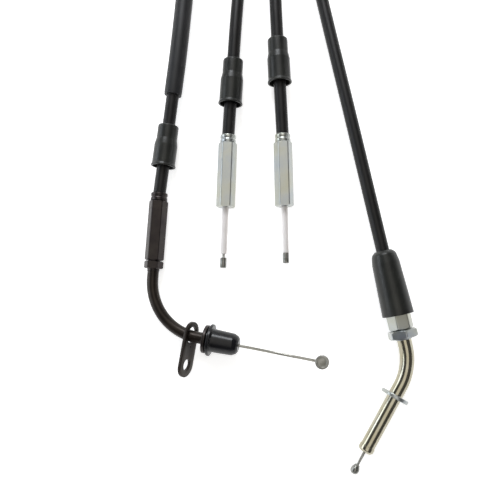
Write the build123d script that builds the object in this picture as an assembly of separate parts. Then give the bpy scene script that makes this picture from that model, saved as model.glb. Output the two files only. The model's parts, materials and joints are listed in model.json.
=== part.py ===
from build123d import *
import math
import os

os.makedirs("parts", exist_ok=True)

# A one-into-three control cable set for a motorcycle, lying flat on a table.
# Millimetres, +Z up, table at Z = 0. The four cable ends point towards -Y.
# The origin is at the middle of the footprint of everything but the cords.

# ---- driving dimensions -------------------------------------------------------------------
CASING_R = 3.0            # outer radius of the black outer casing
WIRE_R = 0.65             # stranded inner wire
SLEEVE_R = 4.2            # guard sleeve pushed over the grip casing
SLEEVE_BORE_R = 3.1
SLEEVE_LENGTH = 100.0
STROKE = 22.0             # travel of the inner wires
WIRE_HIDDEN = 24.0        # length of wire still inside its guide at rest
PART_GAP = 0.1            # axial gap between pieces that butt together
FIT_GAP = 0.03            # radial gap between pieces fixed to each other
RUN_GAP = 0.08            # radial gap between pieces that turn or slide in each other
CASING_BORE_R = 0.95      # hole that the inner wire runs through

# ---- small rubber boots -------------------------------------------------------------------
BOOT_LENGTH = 22.0
BOOT_LIP_R = 5.85
BOOT_BODY_R = 5.45
BOOT_NECK_R = 4.85
BOOT_INNER_R = 5.0
BOOT_NECK_BORE_R = 3.25
BOOT_BODY_LENGTH = 12.2
GRIP_BOOT_LENGTH = 20.0
GRIP_BOOT_BODY_LENGTH = 10.6
BOOT_SHOULDER_LENGTH = 2.8

# ---- carburettor ends ---------------------------------------------------------------------
CARB_AF = 8.0
CARB_HEX_LENGTH = 30.9
CARB_COLLAR_R = 3.75
CARB_COLLAR_LENGTH = 3.8
SPIGOT_R = 2.3            # neck of a collar inside its hexagon
SPIGOT_LENGTH = 6.0
LINER_R = 1.5
LINER_VISIBLE = 22.0
LINER_HIDDEN = 8.0
CARB_NIPPLE_R = 1.5
CARB_NIPPLE_LENGTH = 4.8

# ---- grip end -----------------------------------------------------------------------------
GRIP_AF = 8.0
GRIP_HEX_LENGTH = 27.9
GRIP_COLLAR_R = 3.9
GRIP_COLLAR_LENGTH = 3.8
GRIP_NUT_LENGTH = 3.5
NUT_GAP = 0.35
STEM_R = 2.9              # M6 thread of the elbow's stem
STEM_HIDDEN = 21.0
ADJUST_TRAVEL = 5.0
PIPE_R = 2.65
PIPE_BORE_R = 1.6
ELBOW_BEND_R = 25.6
ELBOW_CORNER = 63.1       # from the collar's upper face to the corner of the two legs
PLATE_AT = 20.4           # along the elbow's second leg, from the corner
PLATE_LENGTH = 25.4
PLATE_WIDTH = 10.4
PLATE_THICKNESS = 1.5
PLATE_HOLE_R = 3.7
PLATE_TOP = 5.95          # from the middle of the large hole to the plate's near end
PLATE_SCREW_R = 2.6
PLATE_HOLE_PITCH = 13.65
PLATE_HOLE_OFFSET = 0.65  # the pipe lies off the middle of the large hole
PLATE_LEAN = 17.0
RING_AT = 26.8
RING_R = 6.4
RING_LENGTH = 1.5
BUSH_AT = 28.4
BUSH_GROOVE_R = 5.6
BUSH_GROOVE_LENGTH = 0.8
BUSH_FLANGE_R = 7.25
BUSH_FLANGE_LENGTH = 1.3
BUSH_R = 5.0
BUSH_LENGTH = 14.6
BUSH_NOSE_LENGTH = 2.2
BUSH_NOSE_R = 3.0
PIPE_END = 39.0
BARREL_AT = 80.7
BARREL_R = 3.0
BARREL_LENGTH = 7.0

# ---- oil pump end -------------------------------------------------------------------------
PUMP_AF = 10.0
PUMP_HEX_LENGTH = 23.8
PUMP_COLLAR_R = 4.5
PUMP_COLLAR_LENGTH = 4.0
PUMP_NUT_AF = 12.0
PUMP_NUT_LENGTH = 3.8
PUMP_STEM_R = 3.9         # M8 thread of the pump pipe's stem
PUMP_STEM_HIDDEN = 15.0
PUMP_PIPE_R = 3.25
PUMP_PIPE_BORE_R = 1.6
PUMP_BEND_R = 26.0
PUMP_CORNER = 45.3        # from the collar's upper face to the corner of the two legs
PUMP_PIPE_END = 41.9      # from the corner to the end of the pipe
WASHER_AT = 14.0
WASHER_R = 6.4
WASHER_LENGTH = 1.7
END_COLLAR_R = 3.55
END_COLLAR_LENGTH = 3.0
PUMP_WIRE_VISIBLE = 6.4
PUMP_NIPPLE_R = 1.9
PUMP_NIPPLE_LENGTH = 4.3
DOME_LENGTH = 30.0
DOME_TOP_R = 6.3
DOME_RIM_R = 7.15
DOME_INNER_TOP_R = 6.0
DOME_INNER_RIM_R = 6.6
DOME_ROUND_LENGTH = 6.5
DOME_RIM_AT = 21.4        # from the collar's upper face down to the boot's rim

# ---- splitter -----------------------------------------------------------------------------
SPLIT_X = -5.0
SPLIT_Z = 11.0
SPLIT_BRANCH_END = 137.0  # Y of the branch casings' ends
SPLIT_MAIN_END = 237.5    # Y of the main casing's end
FERRULE_R = 3.8
BRANCH_FERRULE_LENGTH = 21.0
MAIN_FERRULE_LENGTH = 20.0
FERRULE_SEAT = 5.0
CAP_R = 11.0
CAP_LENGTH = 11.0
MAIN_CAP_LENGTH = 10.0
CAP_SPIGOT_R = 8.6
CAP_SPIGOT_LENGTH = 4.0
CAP_GROOVES = 16
BARREL_SHELL_R = 10.2
BARREL_SHELL_BORE_R = 8.65
SLIDER_R = 8.35
SLIDER_LENGTH = 12.0
SLIDER_AT = 194.0         # Y of the slider's branch side at rest
SOCKET_PITCH_R = 5.25
STUB_NIPPLE_R = 1.4
STUB_NIPPLE_LENGTH = 3.0
BRANCH_ANGLES = {"left": 210.0, "pump": 330.0, "right": 90.0}


# ---- frames -------------------------------------------------------------------------------
def direction(heading, rise):
    """Unit vector: heading in degrees from +X about +Z, rise in degrees above the table."""
    flat = math.cos(math.radians(rise))
    return Vector(
        flat * math.cos(math.radians(heading)),
        flat * math.sin(math.radians(heading)),
        math.sin(math.radians(rise)),
    )


def lying_plane(origin, axis):
    """Local Z runs along the axis and local Y points as far up as it can."""
    return Plane(origin=origin, x_dir=Vector(0, 0, 1).cross(axis), z_dir=axis)


CARB_TIP_Z = 4.02
CARB_ENDS = {
    "left": {"start": (-23.9, -80.6), "heading": 268.0, "rise": -2.1, "casing": 86.4,
             "boot": 15.3, "wire_gap": 1.8},
    "right": {"start": (2.05, -80.1), "heading": 271.2, "rise": -1.75, "casing": 92.68,
              "boot": 25.5, "wire_gap": 0.05},
}


def carb_plane(side):
    end = CARB_ENDS[side]
    hex_end = CARB_COLLAR_LENGTH + PART_GAP + CARB_HEX_LENGTH
    z = CARB_TIP_Z - hex_end * math.sin(math.radians(end["rise"]))
    return lying_plane((*end["start"], z), direction(end["heading"], end["rise"]))


GRIP_RISE = -2.33
GRIP_HEX_END = GRIP_COLLAR_LENGTH + PART_GAP + GRIP_HEX_LENGTH
GRIP_START = Vector(-56.15, -108.8, 4.17 - GRIP_HEX_END * math.sin(math.radians(GRIP_RISE)))
GRIP_AXIS = direction(266.2, GRIP_RISE)
GRIP_PLANE = lying_plane(GRIP_START, GRIP_AXIS)
ELBOW_POINT = GRIP_START + GRIP_AXIS * ELBOW_CORNER
ELBOW_AXIS = direction(-10.6, 8.8)
ELBOW_PLANE = lying_plane(ELBOW_POINT, ELBOW_AXIS)
GRIP_CASING_AXIS = direction(90 - 6.9, -GRIP_RISE)
GRIP_BOOT_AT = 12.7       # from the collar's upper face up to the boot's lip
SLEEVE_AT = 46.8

PUMP_RISE = -0.5
PUMP_START = Vector(49.6, -144.9, 7.35)
PUMP_AXIS = direction(270 + 11.9, PUMP_RISE)
PUMP_PLANE = lying_plane(PUMP_START, PUMP_AXIS)
PUMP_POINT = PUMP_START + PUMP_AXIS * PUMP_CORNER
PUMP_END_AXIS = direction(270 - 30.0, -1.9)
PUMP_END_PLANE = lying_plane(PUMP_POINT, PUMP_END_AXIS)

PLATE_LONG = Vector(-0.085, -0.985, -0.054)
PLATE_LONG = (PLATE_LONG - ELBOW_AXIS * PLATE_LONG.dot(ELBOW_AXIS)).normalized()
PLATE_UP = PLATE_LONG.cross(ELBOW_AXIS)
PLATE_NORMAL = (
    ELBOW_AXIS * math.cos(math.radians(PLATE_LEAN)) + PLATE_UP * math.sin(math.radians(PLATE_LEAN))
)
PLATE_POINT = ELBOW_POINT + ELBOW_AXIS * PLATE_AT
PLATE_PLANE = Plane(
    origin=PLATE_POINT - PLATE_LONG * PLATE_HOLE_OFFSET, x_dir=PLATE_LONG, z_dir=PLATE_NORMAL
)


# ---- shapes -------------------------------------------------------------------------------
def put(plane, solid):
    return plane.location * solid


def rod(radius, start, end):
    return Pos(0, 0, start) * Cylinder(radius, end - start, align=(Align.CENTER, Align.CENTER, Align.MIN))


def tube(radius, bore, start, end):
    return rod(radius, start, end) - rod(bore, start - 1, end + 1)


def turned(points):
    """Solid turned about Z from an outline of (radius, height) points."""
    return revolve(Plane.XZ * make_face(Polyline(*points, close=True)), axis=Axis.Z)


def hexagon(across_flats, start, end, chamfered=(True, True)):
    """Hexagonal bar along Z; chamfered says which ends are turned down to a cone."""
    bar = extrude(RegularPolygon(across_flats / 2, 6, major_radius=False), end - start)
    corner = across_flats / math.sqrt(3)
    bevel = corner - across_flats / 2 + 0.15
    drop = bevel * math.tan(math.radians(30))
    low = (corner - bevel, drop) if chamfered[0] else (corner + 1, 0)
    high = (corner - bevel, drop) if chamfered[1] else (corner + 1, 0)
    length = end - start
    cone = turned([
        (0, 0), (low[0], 0), (corner + 1, low[1] * (corner + 1 - low[0]) / bevel if low[1] else 0),
        (corner + 1, length - (high[1] * (corner + 1 - high[0]) / bevel if high[1] else 0)),
        (high[0], length), (0, length),
    ])
    return Pos(0, 0, start) * (bar & cone)


def small_boot(body_length, length):
    """Rubber boot: open lip at Z = 0, narrow neck on the casing at the top."""
    shoulder = body_length + BOOT_SHOULDER_LENGTH
    outline = [
        (BOOT_INNER_R, 0), (BOOT_LIP_R, 0), (BOOT_LIP_R, 0.6), (BOOT_BODY_R, 1.6),
        (BOOT_BODY_R, body_length), (BOOT_BODY_R - 0.25, body_length + 1.6),
        (BOOT_NECK_R, shoulder), (BOOT_NECK_R, length - 0.7), (BOOT_NECK_R - 0.7, length),
        (BOOT_NECK_BORE_R, length), (BOOT_NECK_BORE_R, shoulder),
        (BOOT_INNER_R, body_length),
    ]
    return turned(outline)


def dome_boot():
    """Large rubber boot: open rim at Z = 0, dome at the top closing onto the casing."""
    shoulder = DOME_LENGTH - DOME_ROUND_LENGTH
    top_r = CASING_R + 0.9
    reach = (DOME_TOP_R - top_r, DOME_ROUND_LENGTH)
    steps = [math.radians(90 * i / 6) for i in range(1, 7)]
    curve = [(top_r + reach[0] * math.cos(a), shoulder + reach[1] * math.sin(a)) for a in steps]
    inner = [
        (BOOT_NECK_BORE_R, DOME_LENGTH), (BOOT_NECK_BORE_R, shoulder + 3.4),
        (DOME_INNER_TOP_R - 0.8, shoulder + 1.6), (DOME_INNER_TOP_R, shoulder - 0.6),
        (DOME_INNER_RIM_R, 0),
    ]
    return turned([(DOME_RIM_R, 0), (DOME_TOP_R, shoulder), *curve, *inner])


def bent_tube(points, radius, bend):
    """Round bar swept along straight legs joined by tangent arcs."""
    path = FilletPolyline(*points, radius=bend)
    return sweep(Plane(origin=path @ 0, z_dir=path % 0) * Circle(radius), path=path)


# ---- cord routes --------------------------------------------------------------------------
CORD_POINTS = {
    "left_casing": [
        (-20.1, -20.0, 7.55), (-15.2, 45.0, 3.2), (-9.9, 97.0, 8.2),
    ],
    "right_casing": [
        (-1.33, -8.0, 7.30), (-2.2, 52.0, 5.2), (-5.1, 100.0, 16.0),
    ],
    "pump_casing": [
        (34.7, -74.2, 7.97), (21.6, -7.0, 3.2), (9.9, 52.0, 3.4), (0.1, 101.0, 8.3),
    ],
    "grip_casing": [
        (-47.2, -35.0, 8.48), (-42.8, 30.0, 4.6), (-48.3, 92.0, 3.2), (-57.5, 148.0, 3.1),
        (-66.0, 198.0, 3.1), (-70.5, 246.0, 3.1), (-71.8, 284.0, 3.1), (-52.6, 305.0, 3.3),
        (-24.2, 306.0, 6.0), (-4.2, 286.0, 9.6), (-5.4, 258.0, 10.9),
    ],
}


def socket_centre(branch):
    angle = math.radians(BRANCH_ANGLES[branch])
    return (SPLIT_X + SOCKET_PITCH_R * math.cos(angle), SPLIT_Z + SOCKET_PITCH_R * math.sin(angle))


def cord_route(name):
    """All points of a cord's route, from its lower end to the splitter."""
    branch = name.split("_")[0]
    if branch in CARB_ENDS:
        plane = carb_plane(branch)
        heading = CARB_ENDS[branch]["casing"]
        start = plane.origin + direction(heading, -CARB_ENDS[branch]["rise"]) * PART_GAP
    elif branch == "pump":
        start = PUMP_START - PUMP_AXIS * PART_GAP
    else:
        start = GRIP_START + GRIP_CASING_AXIS * 2 * PART_GAP
    if branch == "grip":
        finish = (SPLIT_X, SPLIT_MAIN_END + PART_GAP, SPLIT_Z)
    else:
        x, z = socket_centre(branch)
        finish = (x, SPLIT_BRANCH_END - PART_GAP, z)
    return [Vector(start), *[Vector(p) for p in CORD_POINTS[name]], Vector(finish)]


def route_radii(route):
    """Arc radius at each corner: as large as the two runs beside it allow."""
    radii = []
    for before, corner, after in zip(route, route[1:], route[2:]):
        turn = (corner - before).get_angle(after - corner)
        shorter = min((corner - before).length, (after - corner).length)
        radii.append(0.45 * shorter / math.tan(math.radians(turn) / 2))
    return radii


def cord_path(name):
    route = cord_route(name)
    return FilletPolyline(*route, radius=route_radii(route))


def cord_tube(name, radius):
    path = cord_path(name)
    return sweep(Plane(origin=path @ 0, z_dir=path % 0) * Circle(radius), path=path)


# ---- carburettor ends ---------------------------------------------------------------------
def carb_collar():
    return (rod(CARB_COLLAR_R, 0, CARB_COLLAR_LENGTH)
            + rod(SPIGOT_R, CARB_COLLAR_LENGTH - 0.5, CARB_COLLAR_LENGTH + SPIGOT_LENGTH)
            - rod(CASING_BORE_R, -1, CARB_COLLAR_LENGTH + SPIGOT_LENGTH + 1))


CARB_HEX_START = CARB_COLLAR_LENGTH + PART_GAP
CARB_HEX_END = CARB_HEX_START + CARB_HEX_LENGTH
LINER_END = CARB_HEX_END + LINER_VISIBLE


def carb_hex():
    return (hexagon(CARB_AF, CARB_HEX_START, CARB_HEX_END)
            - rod(SPIGOT_R + RUN_GAP, CARB_HEX_START - 1, CARB_COLLAR_LENGTH + SPIGOT_LENGTH + 1)
            - rod(LINER_R + RUN_GAP, CARB_HEX_START, CARB_HEX_END + 1))


def carb_liner():
    return tube(LINER_R, CASING_BORE_R, CARB_HEX_END - LINER_HIDDEN, LINER_END)


def carb_wire(side):
    nipple_end = LINER_END + CARB_ENDS[side]["wire_gap"] + CARB_NIPPLE_LENGTH
    return rod(WIRE_R, LINER_END - WIRE_HIDDEN, nipple_end - 0.5)


def carb_nipple(side):
    start = LINER_END + CARB_ENDS[side]["wire_gap"]
    end = start + CARB_NIPPLE_LENGTH
    body = turned([
        (0, start), (CARB_NIPPLE_R - 0.3, start), (CARB_NIPPLE_R, start + 0.3),
        (CARB_NIPPLE_R, end - 0.3), (CARB_NIPPLE_R - 0.3, end), (0, end),
    ])
    return body - rod(WIRE_R + FIT_GAP, start - 1, end - 0.5 + FIT_GAP)


def carb_boot_plane(side):
    """Boot frame: origin at the lip, local Z up the casing."""
    end = CARB_ENDS[side]
    up = direction(end["casing"], -end["rise"])
    return lying_plane(carb_plane(side).origin + up * end["boot"], up)


# ---- grip end -----------------------------------------------------------------------------
def grip_collar():
    return (rod(GRIP_COLLAR_R, 0, GRIP_COLLAR_LENGTH)
            + rod(SPIGOT_R, GRIP_COLLAR_LENGTH - 0.5, GRIP_COLLAR_LENGTH + SPIGOT_LENGTH)
            - rod(CASING_BORE_R, -1, GRIP_COLLAR_LENGTH + SPIGOT_LENGTH + 1))


def grip_adjuster():
    start = GRIP_COLLAR_LENGTH + PART_GAP
    return (hexagon(GRIP_AF, start, GRIP_HEX_END)
            - rod(SPIGOT_R + RUN_GAP, start - 1, start + SPIGOT_LENGTH + 1)
            - rod(STEM_R + RUN_GAP, GRIP_HEX_END - STEM_HIDDEN - 1, GRIP_HEX_END + 1))


def grip_lock_nut():
    start = GRIP_HEX_END + NUT_GAP
    return (hexagon(GRIP_AF, start, start + GRIP_NUT_LENGTH)
            - rod(STEM_R + RUN_GAP, start - 1, start + GRIP_NUT_LENGTH + 1))


def elbow_stem():
    end = GRIP_HEX_END + NUT_GAP + GRIP_NUT_LENGTH + 1.2
    return tube(STEM_R, PIPE_R + FIT_GAP, GRIP_HEX_END - STEM_HIDDEN, end)


def elbow_pipe():
    points = [
        GRIP_START + GRIP_AXIS * (GRIP_HEX_END - STEM_HIDDEN),
        ELBOW_POINT,
        ELBOW_POINT + ELBOW_AXIS * PIPE_END,
    ]
    return (bent_tube(points, PIPE_R, ELBOW_BEND_R) - bent_tube(points, PIPE_BORE_R, ELBOW_BEND_R))


def retaining_plate():
    middle = PLATE_LENGTH / 2 - PLATE_TOP
    blank = SlotOverall(PLATE_LENGTH, PLATE_WIDTH)
    plate = Pos(middle, 0, -PLATE_THICKNESS / 2) * extrude(blank, PLATE_THICKNESS)
    plate -= rod(PLATE_HOLE_R, -PLATE_THICKNESS, PLATE_THICKNESS)
    plate -= Pos(PLATE_HOLE_PITCH, 0, 0) * rod(PLATE_SCREW_R, -PLATE_THICKNESS, PLATE_THICKNESS)
    return plate - Pos(5.4, 0, 0) * rod(0.5, 0.35, PLATE_THICKNESS)


def elbow_ring():
    return tube(RING_R, PIPE_R + FIT_GAP, RING_AT, RING_AT + RING_LENGTH)


def grip_bush():
    flange = BUSH_AT + BUSH_GROOVE_LENGTH
    body = flange + BUSH_FLANGE_LENGTH
    end = BUSH_AT + BUSH_LENGTH
    outline = [
        (0, BUSH_AT), (BUSH_GROOVE_R, BUSH_AT), (BUSH_GROOVE_R, flange), (BUSH_FLANGE_R, flange),
        (BUSH_FLANGE_R, body), (BUSH_R, body), (BUSH_R, end - BUSH_NOSE_LENGTH),
        (BUSH_NOSE_R, end), (0, end),
    ]
    return (turned(outline) - rod(PIPE_R + FIT_GAP, BUSH_AT - 1, PIPE_END + FIT_GAP)
            - rod(CASING_BORE_R, BUSH_AT, end + 1))


def grip_wire():
    return rod(WIRE_R, BUSH_AT + BUSH_LENGTH - 1.5, BARREL_AT)


def grip_barrel():
    turn = Pos(0, 0, BARREL_AT) * Rot(90, 0, 0)
    barrel = turn * chamfer(Cylinder(BARREL_R, BARREL_LENGTH).edges().filter_by(GeomType.CIRCLE), 0.4)
    return barrel - rod(WIRE_R + FIT_GAP, BARREL_AT - BARREL_LENGTH, BARREL_AT + FIT_GAP)


# ---- oil pump end -------------------------------------------------------------------------
PUMP_HEX_START = PUMP_COLLAR_LENGTH + PART_GAP
PUMP_HEX_END = PUMP_HEX_START + PUMP_HEX_LENGTH


def pump_collar():
    return (rod(PUMP_COLLAR_R, 0, PUMP_COLLAR_LENGTH)
            + rod(SPIGOT_R, PUMP_COLLAR_LENGTH - 0.5, PUMP_COLLAR_LENGTH + SPIGOT_LENGTH)
            - rod(CASING_BORE_R, -1, PUMP_COLLAR_LENGTH + SPIGOT_LENGTH + 1))


def pump_adjuster():
    return (hexagon(PUMP_AF, PUMP_HEX_START, PUMP_HEX_END)
            - rod(SPIGOT_R + RUN_GAP, PUMP_HEX_START - 1, PUMP_HEX_START + SPIGOT_LENGTH + 1)
            - rod(PUMP_STEM_R + RUN_GAP, PUMP_HEX_END - PUMP_STEM_HIDDEN - 1, PUMP_HEX_END + 1))


def pump_lock_nut():
    start = PUMP_HEX_END + NUT_GAP
    nut = hexagon(PUMP_NUT_AF, start, start + PUMP_NUT_LENGTH)
    return Rot(0, 0, 30) * nut - rod(PUMP_STEM_R + RUN_GAP, start - 1, start + PUMP_NUT_LENGTH + 1)


def pump_stem():
    end = PUMP_HEX_END + NUT_GAP + PUMP_NUT_LENGTH + 0.6
    return tube(PUMP_STEM_R, PUMP_PIPE_R + FIT_GAP, PUMP_HEX_END - PUMP_STEM_HIDDEN, end)


def pump_pipe():
    points = [
        PUMP_START + PUMP_AXIS * (PUMP_HEX_END - PUMP_STEM_HIDDEN),
        PUMP_POINT,
        PUMP_POINT + PUMP_END_AXIS * PUMP_PIPE_END,
    ]
    return (bent_tube(points, PUMP_PIPE_R, PUMP_BEND_R)
            - bent_tube(points, PUMP_PIPE_BORE_R, PUMP_BEND_R))


def pump_washer():
    return tube(WASHER_R, PUMP_PIPE_R + FIT_GAP, WASHER_AT, WASHER_AT + WASHER_LENGTH)


def pump_end_collar():
    """Rounded collar swaged on the pipe's end; it also closes the end around the wire."""
    start = PUMP_PIPE_END - END_COLLAR_LENGTH + 1.0
    end = PUMP_PIPE_END + 1.0
    outline = [
        (0, start), (END_COLLAR_R, start), (END_COLLAR_R, end - 1.0), (END_COLLAR_R - 0.4, end - 0.3),
        (END_COLLAR_R - 1.2, end), (0, end),
    ]
    return (turned(outline) - rod(PUMP_PIPE_R + FIT_GAP, start - 1, PUMP_PIPE_END + FIT_GAP)
            - rod(CASING_BORE_R, start, end + 1))


PUMP_NIPPLE_START = PUMP_PIPE_END + 1.0 + PUMP_WIRE_VISIBLE


def pump_wire():
    return rod(WIRE_R, PUMP_PIPE_END + 1.0 - WIRE_HIDDEN, PUMP_NIPPLE_START + 2.0)


def pump_nipple():
    """Pear-shaped end: a cone that widens into a ball."""
    centre = PUMP_NIPPLE_START + PUMP_NIPPLE_LENGTH - PUMP_NIPPLE_R
    cone = turned([
        (0, PUMP_NIPPLE_START), (1.1, PUMP_NIPPLE_START), (1.6, centre - 1.0), (0, centre),
    ])
    body = cone + Pos(0, 0, centre) * Sphere(PUMP_NIPPLE_R)
    return body - rod(WIRE_R + FIT_GAP, PUMP_NIPPLE_START - 1, PUMP_NIPPLE_START + 2.0 + FIT_GAP)


# ---- splitter -----------------------------------------------------------------------------
SPLIT_PLANE = lying_plane((SPLIT_X, 0, SPLIT_Z), Vector(0, 1, 0))
BRANCH_CAP_AT = SPLIT_BRANCH_END + BRANCH_FERRULE_LENGTH - FERRULE_SEAT
MAIN_CAP_AT = SPLIT_MAIN_END - MAIN_FERRULE_LENGTH + FERRULE_SEAT - MAIN_CAP_LENGTH


def at_sockets(solid):
    """One copy of a solid on each branch's line through the splitter."""
    copies = []
    for branch in BRANCH_ANGLES:
        x, z = socket_centre(branch)
        copies.append(Pos(SPLIT_X - x, z - SPLIT_Z, 0) * solid)
    return copies


def knurled_cap(start, length):
    cap = rod(CAP_R, start, start + length)
    for i in range(CAP_GROOVES):
        groove = Pos(CAP_R + 0.5, 0, 0) * rod(1.0, start - 1, start + length + 1)
        cap -= Rot(0, 0, 360 * i / CAP_GROOVES) * groove
    return cap


def branch_cap():
    top = BRANCH_CAP_AT + CAP_LENGTH
    cap = knurled_cap(BRANCH_CAP_AT, CAP_LENGTH) + rod(CAP_SPIGOT_R, top - 1, top + CAP_SPIGOT_LENGTH)
    for hole in at_sockets(rod(FERRULE_R + FIT_GAP, BRANCH_CAP_AT - 1, BRANCH_CAP_AT + FERRULE_SEAT)):
        cap -= hole
    for hole in at_sockets(rod(CASING_BORE_R, BRANCH_CAP_AT, top + CAP_SPIGOT_LENGTH + 1)):
        cap -= hole
    return cap


def main_cap():
    seat = MAIN_CAP_AT + MAIN_CAP_LENGTH - FERRULE_SEAT
    cap = knurled_cap(MAIN_CAP_AT, MAIN_CAP_LENGTH)
    cap += rod(CAP_SPIGOT_R, MAIN_CAP_AT - CAP_SPIGOT_LENGTH, MAIN_CAP_AT + 1)
    cap -= rod(FERRULE_R + FIT_GAP, seat, seat + FERRULE_SEAT + 1)
    return cap - rod(CASING_BORE_R, MAIN_CAP_AT - CAP_SPIGOT_LENGTH - 1, SPLIT_MAIN_END)


def splitter_barrel():
    start = BRANCH_CAP_AT + CAP_LENGTH + PART_GAP
    return tube(BARREL_SHELL_R, BARREL_SHELL_BORE_R, start, MAIN_CAP_AT - PART_GAP)


def ferrule(start, end):
    return tube(FERRULE_R, CASING_BORE_R, start, end)


def splitter_slider():
    end = SLIDER_AT + SLIDER_LENGTH
    slider = rod(SLIDER_R, SLIDER_AT, end)
    slider -= rod(WIRE_R + FIT_GAP, end - 4, end + 1)
    slider -= rod(STUB_NIPPLE_R + FIT_GAP, end - 4 - STUB_NIPPLE_LENGTH - 0.1, end - 4)
    for hole in at_sockets(rod(WIRE_R + FIT_GAP, SLIDER_AT - 1, SLIDER_AT + 4)):
        slider -= hole
    for hole in at_sockets(rod(STUB_NIPPLE_R + FIT_GAP, SLIDER_AT + 4, SLIDER_AT + 4.1 + STUB_NIPPLE_LENGTH)):
        slider -= hole
    return slider


def slider_nipples():
    end = SLIDER_AT + SLIDER_LENGTH
    branch = tube(STUB_NIPPLE_R, WIRE_R + FIT_GAP, SLIDER_AT + 4.05, SLIDER_AT + 4.05 + STUB_NIPPLE_LENGTH)
    main_start = end - 4.05 - STUB_NIPPLE_LENGTH
    main = tube(STUB_NIPPLE_R, WIRE_R + FIT_GAP, main_start, main_start + STUB_NIPPLE_LENGTH)
    return Compound(children=[*at_sockets(branch), main])


def splitter_main_wire():
    return rod(WIRE_R, SLIDER_AT + SLIDER_LENGTH - 4.05 - STUB_NIPPLE_LENGTH, SPLIT_MAIN_END - 2)


def splitter_branch_wires():
    start = SPLIT_BRANCH_END + STROKE + 1
    return Compound(children=at_sockets(rod(WIRE_R, start, SLIDER_AT + 4.05 + STUB_NIPPLE_LENGTH)))


# ---- assembly -----------------------------------------------------------------------------
def all_nodes():
    nodes = {}
    for side in CARB_ENDS:
        plane = carb_plane(side)
        nodes[side + "_carb_collar"] = put(plane, carb_collar())
        nodes[side + "_carb_hex"] = put(plane, carb_hex())
        nodes[side + "_carb_liner"] = put(plane, carb_liner())
        nodes[side + "_carb_wire"] = put(plane, carb_wire(side))
        nodes[side + "_carb_nipple"] = put(plane, carb_nipple(side))
        nodes[side + "_carb_boot"] = put(
            carb_boot_plane(side), small_boot(BOOT_BODY_LENGTH, BOOT_LENGTH)
        )

    for name, maker in {
        "grip_collar": grip_collar, "grip_adjuster": grip_adjuster,
        "grip_lock_nut": grip_lock_nut, "elbow_stem": elbow_stem,
    }.items():
        nodes[name] = put(GRIP_PLANE, maker())
    nodes["elbow_pipe"] = elbow_pipe()
    for name, maker in {
        "elbow_ring": elbow_ring, "grip_bush": grip_bush,
        "grip_wire": grip_wire, "grip_barrel": grip_barrel,
    }.items():
        nodes[name] = put(ELBOW_PLANE, maker())
    nodes["retaining_plate"] = put(PLATE_PLANE, retaining_plate())
    boot_origin = GRIP_START + GRIP_CASING_AXIS * GRIP_BOOT_AT
    nodes["grip_boot"] = put(
        lying_plane(boot_origin, GRIP_CASING_AXIS), small_boot(GRIP_BOOT_BODY_LENGTH, GRIP_BOOT_LENGTH)
    )

    for name, maker in {
        "pump_collar": pump_collar, "pump_adjuster": pump_adjuster,
        "pump_lock_nut": pump_lock_nut, "pump_stem": pump_stem,
    }.items():
        nodes[name] = put(PUMP_PLANE, maker())
    nodes["pump_pipe"] = pump_pipe()
    for name, maker in {
        "pump_washer": pump_washer, "pump_end_collar": pump_end_collar,
        "pump_wire": pump_wire, "pump_nipple": pump_nipple,
    }.items():
        nodes[name] = put(PUMP_END_PLANE, maker())
    rim = PUMP_START + PUMP_AXIS * DOME_RIM_AT
    nodes["pump_boot"] = put(lying_plane(rim, PUMP_AXIS * -1), dome_boot())

    branch_ferrule = ferrule(SPLIT_BRANCH_END, SPLIT_BRANCH_END + BRANCH_FERRULE_LENGTH)
    splitter = {
        "splitter_barrel": splitter_barrel(), "splitter_branch_cap": branch_cap(),
        "splitter_main_cap": main_cap(), "splitter_slider": splitter_slider(),
        "splitter_branch_ferrules": Compound(children=at_sockets(branch_ferrule)),
        "splitter_main_ferrule": ferrule(SPLIT_MAIN_END - MAIN_FERRULE_LENGTH, SPLIT_MAIN_END),
        "slider_nipples": slider_nipples(), "splitter_main_wire": splitter_main_wire(),
        "splitter_branch_wires": splitter_branch_wires(),
    }
    for name, solid in splitter.items():
        nodes[name] = put(SPLIT_PLANE, solid)

    for name in CORD_POINTS:
        nodes[name] = cord_tube(name, CASING_R)
    sleeve_origin = GRIP_START + GRIP_CASING_AXIS * SLEEVE_AT
    window = Plane(origin=sleeve_origin, z_dir=GRIP_CASING_AXIS).location * rod(30, 0, SLEEVE_LENGTH)
    wall = cord_tube("grip_casing", SLEEVE_R) - cord_tube("grip_casing", SLEEVE_BORE_R)
    nodes["grip_sleeve"] = wall & window
    return nodes


def print_cords():
    for name in CORD_POINTS:
        radii = [round(r) for r in route_radii(cord_route(name))]
        path = cord_path(name)
        section = math.pi * CASING_R ** 2
        volume = cord_tube(name, CASING_R).volume
        print(name, "radii", radii, "length", round(path.length, 1),
              "volume ratio", round(volume / (section * path.length), 4))


def main():
    for name, solid in all_nodes().items():
        export_step(solid, f"parts/{name}.step")
    print_cords()


if __name__ == "__main__":
    main()
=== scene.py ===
import json
import math

import bmesh
import bpy
from mathutils import Matrix, Vector


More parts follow.
